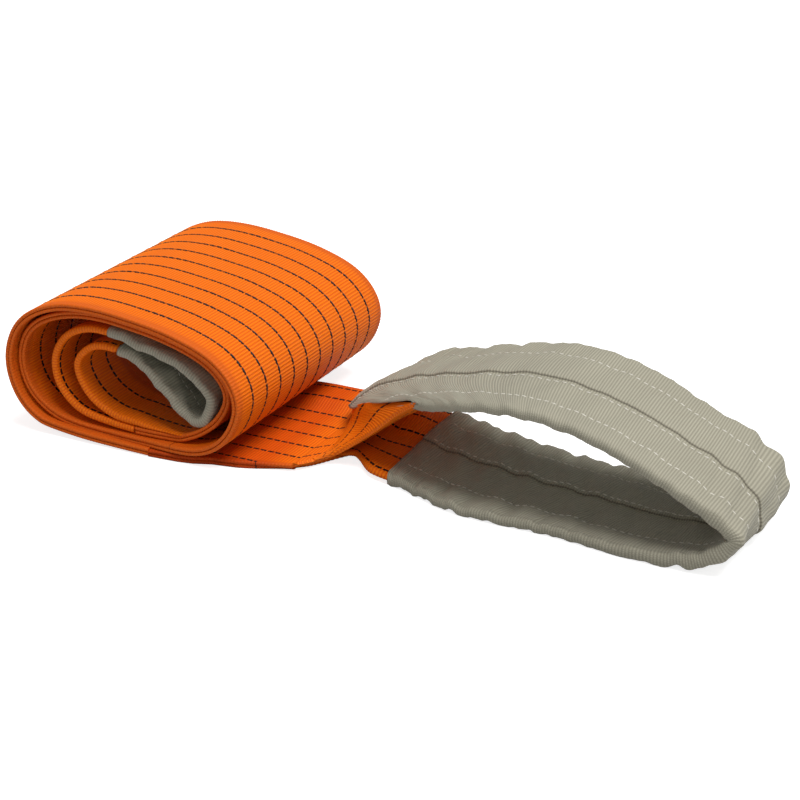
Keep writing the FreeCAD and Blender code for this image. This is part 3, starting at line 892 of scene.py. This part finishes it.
def insideSleeve(u, a, n):
    # the webbing shares the sleeve's slack, and the gap between its folded edges draws in
    a = a * 0.92
    gap = 3.2 * (n < 0) * np.exp(-(a / 9) ** 2) * smoothStep(eyeLength - 330, eyeLength - 60, u)
    return eyeSurface.place(u, a, n * 0.62 + eyeShape(u, a, 0 * a) + gap)


piece = strap("open_eye_webbing_cloth", np.arange(200, eyeLength - 50, 5.0), foldRing, insideSleeve)
finished(piece, orangeCloth,
         ["open_eye_webbing", "open_eye_near_flap", "open_eye_far_flap"], joint=eyeBend)

# the middle row runs beside the lapped edge
for seam, innerRow, outerRow in (("near", -48, -48), ("centre", 6, -6), ("far", 48, 48)):
    tracks = [(row, side * (eye["thick"] + 0.55), 8, eyeLength - 8)
              for side, row in ((-1, outerRow), (1, innerRow))]
    piece = beads(f"open_eye_{seam}_seam_sewn", onShape(eyeSurface, eyeShape), tracks, eye["stitch"],
                  eye["stitchPitch"])
    finished(piece, paleThread, [f"open_eye_{seam}_seam"], joint=eyeBend)
print("open eye made")

# stage, light and camera
stage = {"floorHalf": 60.0, "floorTone": 0.55, "floorRough": 0.85, "floorGlow": 0.8,
         "sun": 3.2, "sunSpread": 0.6, "sunFrom": (0.34, -0.05, 1.0),
         "front": 3, "frontAt": (1.2, -2.2, 1.2), "frontAim": (0.1, 0, 0.1), "frontSize": 1.4, "sky": 0.3}
view = {"lens": 99.0, "sensor": 36.0, "place": (1032.3, -1683.1, 905.4), "tilt": 67.30, "turn": 26.98}


def stageFloor():
    bm = bmesh.new()
    bmesh.ops.create_grid(bm, x_segments=2, y_segments=2, size=stage["floorHalf"])
    mesh = bpy.data.meshes.new("floor")
    bm.to_mesh(mesh)
    bm.free()
    floor = bpy.data.objects.new("floor", mesh)
    bpy.context.collection.objects.link(floor)
    pale = bpy.data.materials.new("paleFloor")
    pale.use_nodes = True
    shader = pale.node_tree.nodes["Principled BSDF"]
    shader.inputs["Base Color"].default_value = (*[stage["floorTone"]] * 3, 1)
    shader.inputs["Roughness"].default_value = stage["floorRough"]
    shader.inputs["Emission Color"].default_value = (1, 1, 1, 1)
    # seen directly the floor glows a little, so that it stays white, but it throws no extra light
    tree = pale.node_tree
    seen = tree.nodes.new("ShaderNodeLightPath").outputs["Is Camera Ray"]
    tree.links.new(calc(tree, "MULTIPLY", seen, stage["floorGlow"]), shader.inputs["Emission Strength"])
    mesh.materials.append(pale)


def areaLight(name, place, aim, size, power):
    light = bpy.data.lights.new(name, "AREA")
    light.size, light.energy = size, power
    lamp = bpy.data.objects.new(name, light)
    lamp.location = place
    lamp.rotation_euler = (Vector(aim) - Vector(place)).to_track_quat("-Z", "Y").to_euler()
    bpy.context.collection.objects.link(lamp)


stageFloor()
sun = bpy.data.lights.new("key", "SUN")
sun.energy, sun.angle = stage["sun"], stage["sunSpread"]
sunLamp = bpy.data.objects.new("key", sun)
sunLamp.rotation_euler = Vector(stage["sunFrom"]).to_track_quat("Z", "Y").to_euler()
bpy.context.collection.objects.link(sunLamp)
areaLight("front", stage["frontAt"], stage["frontAim"], stage["frontSize"], stage["front"])
world = bpy.data.worlds.new("studio")
world.use_nodes = True
world.node_tree.nodes["Background"].inputs["Color"].default_value = (1, 1, 1, 1)
world.node_tree.nodes["Background"].inputs["Strength"].default_value = stage["sky"]
bpy.context.scene.world = world
bpy.context.scene.view_settings.view_transform = "Standard"

lens = bpy.data.cameras.new("camera")
lens.lens, lens.sensor_width = view["lens"], view["sensor"]
camera = bpy.data.objects.new("camera", lens)
camera.location = toFrame(view["place"])
camera.rotation_euler = (math.radians(view["tilt"]), 0, math.radians(view["turn"]))
bpy.context.collection.objects.link(camera)
bpy.context.scene.camera = camera
print("stage made")
